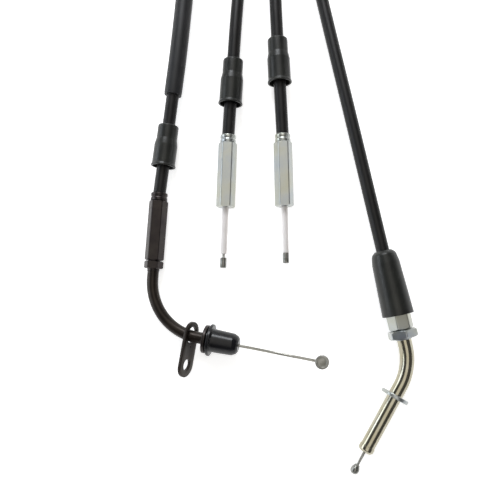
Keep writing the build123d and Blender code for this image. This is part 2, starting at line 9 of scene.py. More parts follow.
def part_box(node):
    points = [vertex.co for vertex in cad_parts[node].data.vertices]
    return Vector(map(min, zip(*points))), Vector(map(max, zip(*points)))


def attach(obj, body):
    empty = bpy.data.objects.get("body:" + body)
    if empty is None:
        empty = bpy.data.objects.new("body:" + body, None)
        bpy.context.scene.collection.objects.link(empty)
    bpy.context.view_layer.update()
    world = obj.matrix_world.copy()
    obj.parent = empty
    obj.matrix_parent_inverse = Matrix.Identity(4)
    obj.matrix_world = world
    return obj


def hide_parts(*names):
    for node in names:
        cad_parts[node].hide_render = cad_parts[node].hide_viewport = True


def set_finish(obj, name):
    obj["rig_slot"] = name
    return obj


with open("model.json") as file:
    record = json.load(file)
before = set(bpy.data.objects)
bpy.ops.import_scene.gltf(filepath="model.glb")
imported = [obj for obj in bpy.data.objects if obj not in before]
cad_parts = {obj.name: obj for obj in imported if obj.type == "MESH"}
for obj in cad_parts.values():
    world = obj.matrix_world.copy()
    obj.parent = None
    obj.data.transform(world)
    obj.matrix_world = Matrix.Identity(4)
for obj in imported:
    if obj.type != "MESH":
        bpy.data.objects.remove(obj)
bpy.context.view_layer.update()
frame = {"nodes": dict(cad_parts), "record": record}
record = frame["record"]

MM = 0.001
UP = Vector((0, 0, 1))

# ---- camera: above the cable ends, looking down and leaning slightly towards +Y -------------
CAMERA_AT = (-13.5, -168.0, 264.0)
CAMERA_LEAN = 7.1
CAMERA_LENS = 40.3


def make_camera():
    camera = bpy.data.objects.new("camera", bpy.data.cameras.new("camera"))
    camera.location = Vector(CAMERA_AT) * MM
    camera.rotation_euler = (math.radians(CAMERA_LEAN), 0, 0)
    camera.data.lens = CAMERA_LENS
    camera.data.sensor_width = 36
    camera.data.clip_start = 0.01
    bpy.context.scene.collection.objects.link(camera)
    bpy.context.scene.camera = camera


# ---- cords: routes in millimetres ------------------------------------------------------------
CASING_R = 3.0
# The second point of each route lies on the straight stretch that leaves the fitting.
ROUTES = {
    "left_casing": [
        (-23.89, -80.50, 5.30), (-21.62, -44.20, 6.65),
        (-20.10, -20.0, 7.55), (-15.2, 45.0, 3.2), (-9.9, 97.0, 8.2), (-9.55, 136.9, 8.38),
    ],
    "right_casing": [
        (2.05, -80.00, 5.09), (0.02, -36.80, 6.41),
        (-1.33, -8.0, 7.30), (-2.2, 52.0, 5.2), (-5.1, 100.0, 16.0), (-5.0, 136.9, 16.25),
    ],
    "pump_casing": [
        (49.58, -144.80, 7.35), (40.65, -102.44, 7.72),
        (34.7, -74.2, 7.97), (21.6, -7.0, 3.2), (9.9, 52.0, 3.4), (0.1, 101.0, 8.3),
        (-0.45, 136.9, 8.38),
    ],
    "grip_casing": [
        (-56.13, -108.60, 5.47), (-50.77, -64.44, 7.28),
        (-47.2, -35.0, 8.48), (-42.8, 30.0, 4.6), (-48.3, 92.0, 3.2), (-57.5, 148.0, 3.1),
        (-66.0, 198.0, 3.1), (-70.5, 246.0, 3.1), (-71.8, 284.0, 3.1), (-52.6, 305.0, 3.3),
        (-24.2, 306.0, 6.0), (-4.2, 286.0, 9.6), (-5.4, 258.0, 10.9), (-5.0, 237.6, 11.0),
    ],
}
SLEEVE_R = 4.2
SLEEVE_GAP = 0.05
SLEEVE_END_SHARE = 0.97


def make_cord(node):
    curve = bpy.data.curves.new(node, "CURVE")
    curve.dimensions = "3D"
    # The points' radii carry the size, which keeps the curve's bound box true to the casing.
    curve.bevel_depth = 1.0
    curve.bevel_resolution = 7
    curve.resolution_u = 24
    spline = curve.splines.new("NURBS")
    points = ROUTES[node]
    spline.points.add(len(points) - 1)
    for point, place in zip(spline.points, points):
        point.co = (*(Vector(place) * MM), 1)
        point.radius = CASING_R * MM
    spline.order_u = 3
    spline.use_endpoint_u = True
    cord = bpy.data.objects.new(node + "_cord", curve)
    bpy.context.scene.collection.objects.link(cord)
    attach(cord, "cable_set")
    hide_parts(node)
    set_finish(cord, "black_pvc")
    return cord


def cord_line(cord):
    """Points along a cord's own NURBS spline."""
    depth = cord.data.bevel_depth
    cord.data.bevel_depth = 0
    line = bpy.data.meshes.new_from_object(cord)
    cord.data.bevel_depth = depth
    places = [v.co.copy() for v in line.vertices]
    bpy.data.meshes.remove(line)
    return places


# ---- frames read from the CAD model ----------------------------------------------------------
JOINTS = {joint["name"]: joint for joint in record["behaviour"]["joints"]}
MOUNTS = {mount["name"]: mount for mount in record["mounts"]}


def joint_axis(name):
    return Vector(JOINTS[name]["axis"]).normalized()


GRIP = joint_axis("grip_adjuster_turn")
ELBOW = joint_axis("throttle_return")
PUMP = joint_axis("pump_adjuster_turn")
PUMP_END = joint_axis("pump_wire_slide")
FACE_DEPTH = 0.02


def end_centre(node, axis, last=False):
    """Middle of a CAD node's first or last face along an axis."""
    places = [v.co for v in frame["nodes"][node].data.vertices]
    stations = [axis.dot(p) for p in places]
    limit = max(stations) if last else min(stations)
    ring = [p for p, s in zip(places, stations) if abs(s - limit) < FACE_DEPTH * MM]
    centre = axis * limit
    side = axis.orthogonal().normalized()
    for way in (side, axis.cross(side)):
        reach = [way.dot(p) for p in ring]
        centre += way * (max(reach) + min(reach)) / 2
    return centre


def axis_matrix(origin, axis):
    """Local Z along the axis, local Y as far up as it can be, in metres."""
    across = UP.cross(axis).normalized()
    matrix = Matrix((across, axis.cross(across), axis)).transposed().to_4x4()
    matrix.translation = origin
    return matrix


def node_matrix(node, axis):
    return axis_matrix(end_centre(node, axis), axis)


def node_length(node, axis):
    """Length of a CAD node along an axis, in millimetres."""
    stations = [axis.dot(v.co) for v in frame["nodes"][node].data.vertices]
    return (max(stations) - min(stations)) / MM


# ---- mesh helpers: shapes in millimetres about local Z ----------------------------------------
SMOOTH_ANGLE = math.radians(32)


def add_mesh(name, mesh_data, matrix, body, slot, node=None):
    """Puts a bmesh drawn in millimetres into the scene as a piece."""
    mesh = bpy.data.meshes.new(name)
    bmesh.ops.recalc_face_normals(mesh_data, faces=mesh_data.faces)
    mesh_data.to_mesh(mesh)
    mesh_data.free()
    mesh.transform(matrix @ Matrix.Scale(MM, 4))
    for polygon in mesh.polygons:
        polygon.use_smooth = True
    mesh.set_sharp_from_angle(angle=SMOOTH_ANGLE)
    piece = bpy.data.objects.new(name, mesh)
    bpy.context.scene.collection.objects.link(piece)
    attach(piece, body)
    if node:
        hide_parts(node)
    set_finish(piece, slot)
    return piece


def rounded(points, steps=5):
    """Outline whose corners (x, y, radius) are replaced by curves."""
    outline = []
    count = len(points)
    for i, (x, y, radius) in enumerate(points):
        here = Vector((x, y))
        before = Vector(points[i - 1][:2]) - here
        after = Vector(points[(i + 1) % count][:2]) - here
        if radius <= 0 or before.length < 1e-6 or after.length < 1e-6:
            outline.append((x, y))
            continue
        half = before.angle(after) / 2
        back = min(radius / math.tan(half), before.length * 0.49, after.length * 0.49)
        start = here + before.normalized() * back
        finish = here + after.normalized() * back
        for step in range(steps + 1):
            t = step / steps
            spot = start * (1 - t) ** 2 + here * 2 * t * (1 - t) + finish * t ** 2
            outline.append((spot.x, spot.y))
    return outline


def lathe(outline, segments=72, shape=None):
    """Solid turned about Z from a closed outline of (radius, height); shape(angle, r, z) moves r."""
    data = bmesh.new()
    rings = []
    for radius, height in outline:
        if radius < 1e-6:
            rings.append([data.verts.new((0, 0, height))])
            continue
        ring = []
        for i in range(segments):
            angle = 2 * math.pi * i / segments
            r = shape(angle, radius, height) if shape else radius
            ring.append(data.verts.new((r * math.cos(angle), r * math.sin(angle), height)))
        rings.append(ring)
    for ring, following in zip(rings, rings[1:] + rings[:1]):
        if len(ring) == 1 and len(following) == 1:
            continue
        for i in range(segments):
            j = (i + 1) % segments
            if len(ring) == 1:
                data.faces.new((ring[0], following[i], following[j]))
            elif len(following) == 1:
                data.faces.new((ring[i], following[0], ring[j]))
            else:
                data.faces.new((ring[i], following[i], following[j], ring[j]))
    return data


def hex_radius(angle, apothem, corner_round):
    """Distance from the middle to a hexagon's side, with its corners eased."""
    off = angle % (math.pi / 3) - math.pi / 6
    reach = apothem / math.cos(off)
    limit = apothem * 2 / math.sqrt(3) - corner_round
    return min(reach, limit)


# Marks in a hexagon's outline that tell its sides from its bore; shape() gives the real radii.
HEX_SIDE = 1.0
HEX_BORE = 0.5
HEX_FACE_INSET = 0.15
CONE_STEPS = 14


def hexagon(across_flats, length, bore, chamfers=(30, 30), turn=0.0, corner_round=0.14):
    """Hexagonal bar with turned-down ends; chamfers are cone angles in degrees, 0 for none."""
    apothem = across_flats / 2
    corner = apothem * 2 / math.sqrt(3)
    face_r = apothem - HEX_FACE_INSET
    stations = []
    for end, angle in enumerate(chamfers):
        depth = (corner - face_r) * math.tan(math.radians(angle))
        steps = CONE_STEPS if depth else 1
        for step in range(steps + 1):
            z = depth * step / steps
            stations.append(z if end == 0 else length - z)
    stations = sorted(set(stations))

    def limit_at(z):
        limit = corner + 1
        for z_end, angle in ((z, chamfers[0]), (length - z, chamfers[1])):
            if angle:
                limit = min(limit, face_r + z_end / math.tan(math.radians(angle)))
        return limit

    outline = [(HEX_SIDE, z) for z in stations] + [(HEX_BORE, length), (HEX_BORE, 0)]

    def shape(angle, mark, z):
        if mark == HEX_BORE:
            return bore
        return min(hex_radius(angle + turn, apothem, corner_round), limit_at(z))

    return lathe(outline, segments=180, shape=shape)


def bridge(data, ring, following):
    for side in range(len(ring)):
        after = (side + 1) % len(ring)
        data.faces.new((ring[side], ring[after], following[after], following[side]))


def sweep_rings(places, radii, sides=48):
    """Open round tube along places, with a radius for each place: its mesh and its rings."""
    data = bmesh.new()
    normal = None
    rings = []
    for i, place in enumerate(places):
        ahead = places[min(i + 1, len(places) - 1)] - places[max(i - 1, 0)]
        ahead.normalize()
        if normal is None:
            normal = ahead.orthogonal().normalized()
        normal = (normal - ahead * normal.dot(ahead)).normalized()
        other = ahead.cross(normal)
        ring = []
        for side in range(sides):
            angle = 2 * math.pi * side / sides
            outward = normal * math.cos(angle) + other * math.sin(angle)
            ring.append(data.verts.new(place + outward * radii[i]))
        rings.append(ring)
    for ring, following in zip(rings, rings[1:]):
        bridge(data, ring, following)
    return data, rings


def merge(data, extra):
    """Adds one bmesh to another and frees it."""
    spare = bpy.data.meshes.new("spare")
    extra.to_mesh(spare)
    extra.free()
    data.from_mesh(spare)
    bpy.data.meshes.remove(spare)


# ---- boots --------------------------------------------------------------------------------------
def boot_outline(body_length, length):
    """Small boot: rolled lip, straight body, shoulder and a narrower neck."""
    shoulder = body_length + 2.8
    return [
        (5.0, 0.0, 0.15), (5.85, 0.0, 0.3), (5.82, 0.55, 0.3), (5.45, 1.5, 0.9),
        (5.45, body_length - 0.3, 1.4), (5.15, body_length + 1.4, 0.9), (4.85, shoulder, 0.8),
        (4.85, length, 0.95), (3.06, length, 0.15), (3.06, shoulder, 0.3), (5.0, body_length, 0.5),
    ]


def make_boot(node, joint, body, body_length=12.2, length=22.0):
    up = -joint_axis(joint)
    return add_mesh(node + "_skin", lathe(rounded(boot_outline(body_length, length), 7), 96),
                    node_matrix(node, up), body, "black_rubber", node)


DOME_OUTLINE = [
    (6.55, 0.0, 0.15), (7.15, 0.0, 0.25), (6.30, 24.2, 6.0), (5.55, 28.6, 3.0), (3.9, 30.0, 0.9),
    (3.06, 30.0, 0.1), (3.06, 27.6, 0.3), (5.95, 22.6, 1.5),
]


def make_dome_boot():
    up = joint_axis("pump_boot_slide")
    return add_mesh("pump_boot_skin", lathe(rounded(DOME_OUTLINE, 12), 96), node_matrix("pump_boot", up),
                    "pump_boot", "black_rubber", "pump_boot")


# ---- hexagons, collars and nuts -------------------------------------------------------------------
def make_hex(node, axis, body, slot, across_flats, bore, chamfers=(30, 30), turn=0.0):
    length = node_length(node, axis)
    return add_mesh(node + "_bar", hexagon(across_flats, length, bore, chamfers, turn),
                    node_matrix(node, axis), body, slot, node)


def make_lathe(node, axis, body, slot, outline, segments=72, shape=None):
    return add_mesh(node + "_turned", lathe(rounded(outline), segments, shape),
                    node_matrix(node, axis), body, slot, node)


def collar_outline(radius, length, spigot_r, spigot_length):
    """Crimped collar: a rounded barrel with a waist, and the spigot hidden in its hexagon."""
    return [
        (0.95, 0.0, 0.0), (radius, 0.0, 0.55), (radius, length * 0.36, 0.3),
        (radius - 0.28, length * 0.5, 0.35), (radius, length * 0.66, 0.3), (radius, length, 0.35),
        (spigot_r, length, 0.1), (spigot_r, length + spigot_length, 0.2), (0.95, length + spigot_length, 0.0),
    ]


def make_collar(node, axis, slot, radius, length):
    return make_lathe(node, axis, "cable_set", slot, collar_outline(radius, length, 2.3, 6.0))


# ---- stranded wire and its ends --------------------------------------------------------------------
WIRE_R = 0.65
STRANDS = 6
STRAND_R = WIRE_R / 3
STRAND_LAY = 8.4
STRAND_STEP = 0.45
CORE_R = WIRE_R - 1.5 * STRAND_R


def make_wire(node, axis, body):
    """Six helical strands round a core, as long as the CAD wire."""
    length = node_length(node, axis)
    data = bmesh.new()
    steps = max(12, int(length / STRAND_STEP))
    for strand in range(STRANDS):
        start = 2 * math.pi * strand / STRANDS
        places = []
        for step in range(steps + 1):
            z = length * step / steps
            angle = start + 2 * math.pi * z / STRAND_LAY
            reach = WIRE_R - STRAND_R
            places.append(Vector((reach * math.cos(angle), reach * math.sin(angle), z)))
        part, rings = sweep_rings(places, [STRAND_R] * len(places), sides=8)
        for ring in (rings[0], rings[-1]):
            part.faces.new(ring)
        merge(data, part)
    merge(data, lathe([(0, 0), (CORE_R, 0), (CORE_R, length), (0, length)], 24))
    return add_mesh(node + "_strands", data, node_matrix(node, axis), body, "steel_wire", node)


def make_nipple(node, axis, body):
    """Small cylinder with eased edges."""
    outline = [(0.68, 0.0, 0.0), (1.5, 0.0, 0.35), (1.5, 4.8, 0.45), (0.0, 4.8, 0.0), (0.0, 4.3, 0.0),
               (0.68, 4.3, 0.0)]
    return make_lathe(node, axis, body, "cast_zinc", outline, 48)


def make_pear():
    outline = [(0.68, 0.0, 0.0), (1.15, 0.0, 0.2), (1.3, 0.7, 0.6), (1.9, 1.7, 1.0), (1.9, 3.2, 1.3),
               (1.2, 4.3, 0.9), (0.0, 4.3, 0.0), (0.0, 2.0, 0.0), (0.68, 2.0, 0.0)]
    return make_lathe("pump_nipple", PUMP_END, "pump_inner_wire", "cast_zinc", outline, 48)


def make_barrel():
    """Barrel end across the grip wire, its own axis as near upright as the wire allows."""
    outline = rounded([(0.0, -3.3, 0), (1.9, -3.3, 0.2), (2.1, -3.5, 0.2), (3.0, -3.5, 0.5), (3.0, 3.5, 0.5),
                       (2.1, 3.5, 0.2), (1.9, 3.3, 0.2), (0.0, 3.3, 0)])
    low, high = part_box("grip_barrel")
    centre = (Vector(low) + Vector(high)) / 2
    across = UP.cross(ELBOW).normalized()
    matrix = axis_matrix(centre, ELBOW.cross(across))
    return add_mesh("grip_barrel_turned", lathe(outline, 64), matrix, "grip_inner_wire", "cast_zinc",
                    "grip_barrel")


# ---- bent pipes --------------------------------------------------------------------------------------
PIPE_SIDES = 56
FIRST_LEG_STEPS = 6
LAST_LEG_STEPS = 8


def bent_places(node, axis_in, axis_out, bend_r, steps=28):
    """Centre line of a bent pipe in metres: leg, arc, leg."""
    start = end_centre(node, axis_in)
    finish = end_centre(node, axis_out, last=True)
    gap = finish - start
    cross = axis_in.cross(axis_out)
    along = gap.cross(axis_out).dot(cross) / cross.length_squared
    corner = start + axis_in * along
    turn = axis_in.angle(axis_out)
    back = bend_r * MM * math.tan(turn / 2)
    arc_start = corner - axis_in * back
    centre = arc_start + (cross.normalized().cross(axis_in)) * bend_r * MM
    places = [start + (arc_start - start) * i / FIRST_LEG_STEPS for i in range(FIRST_LEG_STEPS)]
    for i in range(steps + 1):
        spin = Matrix.Rotation(turn * i / steps, 3, cross.normalized())
        places.append(centre + spin @ (arc_start - centre))
    arc_end = places[-1]
    for i in range(1, LAST_LEG_STEPS + 1):
        places.append(arc_end + (finish - arc_end) * i / LAST_LEG_STEPS)
    return places


def line_with_bore(data, places, bore):
    """Gives a swept tube its inner wall and joins the two at both ends."""
    inner, _ = sweep_rings(places, [bore] * len(places), PIPE_SIDES)
    count = len(data.verts)
    merge(data, inner)
    data.verts.ensure_lookup_table()
    for end in (0, len(places) - 1):
        outside = [data.verts[end * PIPE_SIDES + i] for i in range(PIPE_SIDES)]
        inside = [data.verts[count + end * PIPE_SIDES + i] for i in range(PIPE_SIDES)]
        bridge(data, outside, inside)


def make_pipe(node, places, body, slot, radius, bore):
    """Open-ended pipe."""
    scaled = [p / MM for p in places]
    data, _ = sweep_rings(scaled, [radius] * len(scaled), PIPE_SIDES)
    line_with_bore(data, scaled, bore)
    return add_mesh(node + "_bent", data, Matrix.Identity(4), body, slot, node)


# ---- grip end pieces ---------------------------------------------------------------------------------
PLATE_L = 25.4
PLATE_W = 10.4
PLATE_T = 1.5
PLATE_EASE = 0.22
PLATE_PITCH = 13.65
PLATE_TOP = 5.95
PLATE_PIPE_R = 3.7
PLATE_SCREW_R = 2.6
DIMPLE_AT = 5.4
DIMPLE_R = 0.55

RING_OUTLINE = [(2.68, 0.0, 0.0), (6.4, 0.0, 0.35), (6.4, 1.5, 0.35), (2.68, 1.5, 0.0)]
BUSH_OUTLINE = [
    (2.68, 0.0, 0.0), (5.6, 0.0, 0.2), (5.6, 0.8, 0.15), (7.25, 0.8, 0.3), (7.25, 2.1, 0.4),
    (5.3, 2.15, 0.5), (4.95, 12.0, 0.8), (4.0, 13.9, 0.8), (3.0, 14.6, 0.4), (0.95, 14.6, 0.2),
    (0.95, 10.63, 0.0), (2.68, 10.63, 0.0),
]
LINER_OUTLINE = [(0.95, 0.0, 0.0), (1.5, 0.0, 0.1), (1.5, 30.0, 0.15), (0.95, 30.0, 0.1)]
WASHER_OUTLINE = [(3.28, 0.0, 0.0), (6.4, 0.0, 0.4), (6.4, 1.7, 0.4), (3.28, 1.7, 0.0)]
END_COLLAR_OUTLINE = [
    (3.28, 0.0, 0.0), (3.55, 0.0, 0.2), (3.55, 2.0, 0.8), (2.6, 3.0, 0.7), (0.95, 3.0, 0.15),
    (0.95, 2.03, 0.0), (3.28, 2.03, 0.0),
]


def strip_outline(steps=32):
    """Slot-ended outline of the plate, drawn smaller by its eased edge."""
    half = PLATE_W / 2 - PLATE_EASE
    near = PLATE_W / 2 - PLATE_TOP
    far = PLATE_L - PLATE_TOP - PLATE_W / 2
    outline = []
    for middle, first in ((far, -90), (near, 90)):
        for i in range(steps + 1):
            angle = math.radians(first + 180 * i / steps)
            outline.append((middle + half * math.cos(angle), half * math.sin(angle)))
    return outline


def hole_outline(middle, radius, steps=48):
    turns = [-2 * math.pi * i / steps for i in range(steps)]
    return [(middle + radius * math.cos(turn), radius * math.sin(turn)) for turn in turns]


def make_plate():
    """Retaining plate: a slot-ended strip with two holes, a dimple and eased edges."""
    screw = Vector(MOUNTS["plate_screw_hole"]["pos_m"])
    normal = Vector(MOUNTS["plate_screw_hole"]["axis"]).normalized()
    pivot = Vector(JOINTS["retaining_plate_swivel"]["pos_m"])
    along = screw - pivot
    along = (along - normal * along.dot(normal)).normalized()
    across = normal.cross(along)
    matrix = Matrix((along, across, normal)).transposed().to_4x4()
    matrix.translation = screw - along * PLATE_PITCH * MM
    curve = bpy.data.curves.new("plate_outline", "CURVE")
    curve.dimensions = "2D"
    curve.fill_mode = "BOTH"
    curve.extrude = PLATE_T / 2 - PLATE_EASE
    curve.bevel_depth = PLATE_EASE
    curve.bevel_resolution = 3
    loops = (
        strip_outline(),
        hole_outline(0.0, PLATE_PIPE_R + PLATE_EASE),
        hole_outline(PLATE_PITCH, PLATE_SCREW_R + PLATE_EASE),
        hole_outline(DIMPLE_AT, DIMPLE_R, 24),
    )
    for loop in loops:
        spline = curve.splines.new("POLY")
        spline.points.add(len(loop) - 1)
        for point, (x, y) in zip(spline.points, loop):
            point.co = (x, y, 0, 1)
        spline.use_cyclic_u = True
    holder = bpy.data.objects.new("plate_outline", curve)
    mesh = bpy.data.meshes.new_from_object(holder)
    data = bmesh.new()
    data.from_mesh(mesh)
    bmesh.ops.remove_doubles(data, verts=data.verts, dist=0.001)
    plug = lathe([(0, -0.6), (DIMPLE_R + 0.2, -0.6), (DIMPLE_R + 0.2, 0.3), (0, 0.1)], 24)
    bmesh.ops.translate(plug, verts=plug.verts, vec=(DIMPLE_AT, 0, 0))
    merge(data, plug)
    bpy.data.objects.remove(holder)
    bpy.data.curves.remove(curve)
    bpy.data.meshes.remove(mesh)
    return add_mesh("retaining_plate_bar", data, matrix, "retaining_plate", "brown_black_plate",
                    "retaining_plate")


def make_sleeve(line):
    """Guard sleeve that hugs the grip casing, drawn in a little at its ends."""
    low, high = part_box("grip_sleeve")
    inside = [p / MM for p in line if low[1] < p.y < high[1]]
    data, outer = sweep_rings(inside, [SLEEVE_R] * len(inside), PIPE_SIDES)
    for ring, centre in ((outer[0], inside[0]), (outer[-1], inside[-1])):
        for vert in ring:
            vert.co = centre + (vert.co - centre) * SLEEVE_END_SHARE
    line_with_bore(data, inside, CASING_R + SLEEVE_GAP)
    return add_mesh("grip_sleeve_tube", data, Matrix.Identity(4), "cable_set", "sleeve_pvc", "grip_sleeve")


# ---- threaded stems ----------------------------------------------------------------------------------
THREAD_PITCH = 1.0
THREAD_DEPTH = 0.3
THREAD_WALL_SHARE = 0.55
THREAD_FADE = 0.4
THREAD_STEPS = 8


def make_stem(node, axis, body, slot, radius, bore):
    """Stem with a helical thread that is never deeper than a share of its wall."""
    length = node_length(node, axis)
    steps = int(length * THREAD_STEPS)
    outline = [(radius, length * step / steps) for step in range(steps + 1)]
    outline += [(bore, length), (bore, 0.0)]
    depth = min(THREAD_DEPTH, THREAD_WALL_SHARE * (radius - bore))

    def shape(angle, r, z):
        if r <= bore:
            return bore
        phase = (z / THREAD_PITCH - angle / (2 * math.pi)) % 1.0
        faded = max(0.0, 1 - min(z, length - z) / THREAD_FADE)
        return r - depth * max(2 * abs(phase - 0.5), faded)

    return add_mesh(node + "_thread", lathe(outline, 64, shape), node_matrix(node, axis), body, slot, node)


# ---- splitter ------------------------------------------------------------------------------------------
ALONG = Vector((0, 1, 0))


def splitter_matrix(node):
    """Frame on the splitter's axis at a node's branch end."""
    low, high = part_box("splitter_barrel")
    middle = (Vector(low) + Vector(high)) / 2
    return axis_matrix(Vector((middle.x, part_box(node)[0].y, middle.z)), ALONG)


def make_splitter_barrel():
    length = node_length("splitter_barrel", ALONG)
    outline = [
        (8.65, 0.0, 0), (9.9, 0.0, 0.2), (10.2, 0.4, 0.2), (10.2, 3.0, 0.1), (9.95, 3.2, 0.1),
        (9.95, 4.0, 0.1), (10.2, 4.2, 0.1), (10.2, length - 4.2, 0.1), (9.95, length - 4.0, 0.1),
        (9.95, length - 3.2, 0.1), (10.2, length - 3.0, 0.1), (10.2, length - 0.4, 0.2),
        (9.9, length, 0.2), (8.65, length, 0),
    ]
    return add_mesh("splitter_barrel_turned", lathe(rounded(outline), 120),
                    splitter_matrix("splitter_barrel"), "cable_set", "splitter_black", "splitter_barrel")


def ferrule_outline(length, casing_first=True):
    """Ferrule with a rolled bead where the casing goes in."""
    outline = [
        (0.95, 0.0, 0), (3.5, 0.0, 0.2), (3.8, 0.5, 0.25), (3.8, 1.6, 0.2), (3.55, 2.0, 0.2),
        (3.55, 2.8, 0.2), (3.8, 3.2, 0.2), (3.8, length, 0.2), (0.95, length, 0),
    ]
    return outline if casing_first else [(r, length - z, ease) for r, z, ease in reversed(outline)]


def make_ferrules():
    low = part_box("splitter_branch_ferrules")[0]
    length = node_length("splitter_branch_ferrules", ALONG)
    data = bmesh.new()
    for node in ("left_casing", "right_casing", "pump_casing"):
        x, _, z = ROUTES[node][-1]
        single = lathe(rounded(ferrule_outline(length)), 64)
        bmesh.ops.transform(single, verts=single.verts,
                            matrix=axis_matrix(Vector((x, low.y / MM, z)), ALONG))
        merge(data, single)
    branch = add_mesh("splitter_branch_ferrules_rolled", data, Matrix.Identity(4), "cable_set",
                      "ferrule_steel", "splitter_branch_ferrules")
    main_length = node_length("splitter_main_ferrule", ALONG)
    main = add_mesh("splitter_main_ferrule_rolled",
                    lathe(rounded(ferrule_outline(main_length, False)), 64),
                    splitter_matrix("splitter_main_ferrule"), "cable_set", "ferrule_steel",
                    "splitter_main_ferrule")
    return [branch, main]


# ---- materials -----------------------------------------------------------------------------------
def new_material(name):
    """(material, its main shader, its node tree)."""
    material = bpy.data.materials.new(name)
    material.use_nodes = True
    tree = material.node_tree
    return material, tree.nodes["Principled BSDF"], tree


def noise(tree, scale, detail=3.0, roughness=0.5, stretch=None):
    """Noise in object space, with scale in waves per metre."""
    place = tree.nodes.new("ShaderNodeTexCoord")
    source = place.outputs["Object"]
    if stretch:
        mapping = tree.nodes.new("ShaderNodeMapping")
        mapping.inputs["Scale"].default_value = stretch
        tree.links.new(source, mapping.inputs["Vector"])
        source = mapping.outputs["Vector"]
    texture = tree.nodes.new("ShaderNodeTexNoise")
    texture.inputs["Scale"].default_value = scale
    texture.inputs["Detail"].default_value = detail
    texture.inputs["Roughness"].default_value = roughness
    tree.links.new(source, texture.inputs["Vector"])
    return texture.outputs["Fac"]


def ramp(tree, factor, stops):
    """Colour ramp; stops are (position, colour)."""
    node = tree.nodes.new("ShaderNodeValToRGB")
    elements = node.color_ramp.elements
    while len(elements) < len(stops):
        elements.new(0.5)
    for element, (position, colour) in zip(elements, stops):
        element.position = position
        element.color = (*colour, 1)
    tree.links.new(factor, node.inputs["Fac"])
    return node.outputs["Color"]


def value_range(tree, factor, low, high):
    node = tree.nodes.new("ShaderNodeMapRange")
    node.inputs["To Min"].default_value = low
    node.inputs["To Max"].default_value = high
    tree.links.new(factor, node.inputs["Value"])
    return node.outputs["Result"]


def add_bump(tree, shader, height, distance, strength=0.5):
    node = tree.nodes.new("ShaderNodeBump")
    node.inputs["Distance"].default_value = distance * MM
    node.inputs["Strength"].default_value = strength
    tree.links.new(height, node.inputs["Height"])
    tree.links.new(node.outputs["Normal"], shader.inputs["Normal"])


def finish_material(name, stops, rough, metallic=0.0, colour_scale=120, rough_scale=700,
                    bump_scale=2500, bump=0.02, coat=0.0, specular=0.5, stretch=None):
    """Surface with a mottled colour, uneven gloss and a fine grain."""
    material, shader, tree = new_material(name)
    tree.links.new(ramp(tree, noise(tree, colour_scale, 4, 0.55, stretch), stops),
                   shader.inputs["Base Color"])
    tree.links.new(value_range(tree, noise(tree, rough_scale, 3), *rough), shader.inputs["Roughness"])
    shader.inputs["Metallic"].default_value = metallic
    shader.inputs["Specular IOR Level"].default_value = specular
    if coat:
        shader.inputs["Coat Weight"].default_value = coat
        shader.inputs["Coat Roughness"].default_value = 0.12
    add_bump(tree, shader, noise(tree, bump_scale, 2), bump)
    return material


def paint(piece, material):
    piece.data.materials.clear()
    piece.data.materials.append(material)


MATERIALS = {
    "black_pvc": finish_material(
        "black_pvc", [(0.3, (0.005, 0.005, 0.005)), (0.7, (0.010, 0.009, 0.009))], (0.36, 0.5),
        specular=0.3),
    "sleeve_pvc": finish_material(
        "sleeve_pvc", [(0.3, (0.009, 0.010, 0.011)), (0.7, (0.016, 0.016, 0.018))], (0.42, 0.55),
        specular=0.35),
    "black_rubber": finish_material(
        "black_rubber", [(0.35, (0.010, 0.011, 0.010)), (0.7, (0.019, 0.020, 0.017))], (0.30, 0.44),
        bump_scale=1600, bump=0.03, specular=0.4),
    "zinc_plate": finish_material(
        "zinc_plate", [(0.3, (0.43, 0.43, 0.35)), (0.5, (0.44, 0.455, 0.43)), (0.66, (0.39, 0.42, 0.45)),
                       (0.8, (0.41, 0.40, 0.46))], (0.26, 0.42), 1.0, colour_scale=70),
    "olive_plate": finish_material(
        "olive_plate", [(0.3, (0.38, 0.35, 0.25)), (0.7, (0.46, 0.44, 0.36))], (0.13, 0.2), 1.0,
        bump=0.008),
    "black_plate": finish_material(
        "black_plate", [(0.3, (0.028, 0.023, 0.024)), (0.7, (0.048, 0.041, 0.037))], (0.26, 0.42), 0.8),
    "brown_black_plate": finish_material(
        "brown_black_plate", [(0.3, (0.016, 0.012, 0.010)), (0.7, (0.030, 0.023, 0.018))], (0.28, 0.42), 0.6,
        specular=0.4),
    "gloss_black": finish_material(
        "gloss_black", [(0.3, (0.004, 0.004, 0.005)), (0.7, (0.007, 0.007, 0.009))], (0.2, 0.3),
        bump=0.008, specular=0.35),
    "white_nylon": finish_material(
        "white_nylon", [(0.3, (0.80, 0.76, 0.74)), (0.7, (0.88, 0.85, 0.84))], (0.28, 0.4)),
    "steel_wire": finish_material(
        "steel_wire", [(0.3, (0.40, 0.39, 0.35)), (0.7, (0.56, 0.55, 0.51))], (0.28, 0.4), 1.0),
    "cast_zinc": finish_material(
        "cast_zinc", [(0.35, (0.18, 0.18, 0.165)), (0.65, (0.33, 0.33, 0.31))], (0.24, 0.4), 0.95,
        colour_scale=500, bump=0.04),
    "splitter_black": finish_material(
        "splitter_black", [(0.3, (0.010, 0.010, 0.011)), (0.7, (0.018, 0.018, 0.019))], (0.4, 0.55),
        specular=0.4),
    "ferrule_steel": finish_material(
        "ferrule_steel", [(0.3, (0.05, 0.05, 0.052)), (0.7, (0.075, 0.075, 0.08))], (0.3, 0.42), 0.8),
}


def paint_everything(pieces):
    """Each piece and each CAD node that still shows takes its slot's material."""
    for piece in pieces:
        paint(piece, MATERIALS[piece["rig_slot"]])
    for part in record["subparts"]:
        paint(frame["nodes"][part["node"]], MATERIALS[part["material_slot"]])


# ---- floor and light ------------------------------------------------------------------------
FLOOR_GLOW = 0.66
SKY = 0.10
FLOOR_R = 2.5
COVE_R = 0.3
WALL_HEIGHT = 0.8
COVE_STEPS = 12
FLOOR_SIDES = 96


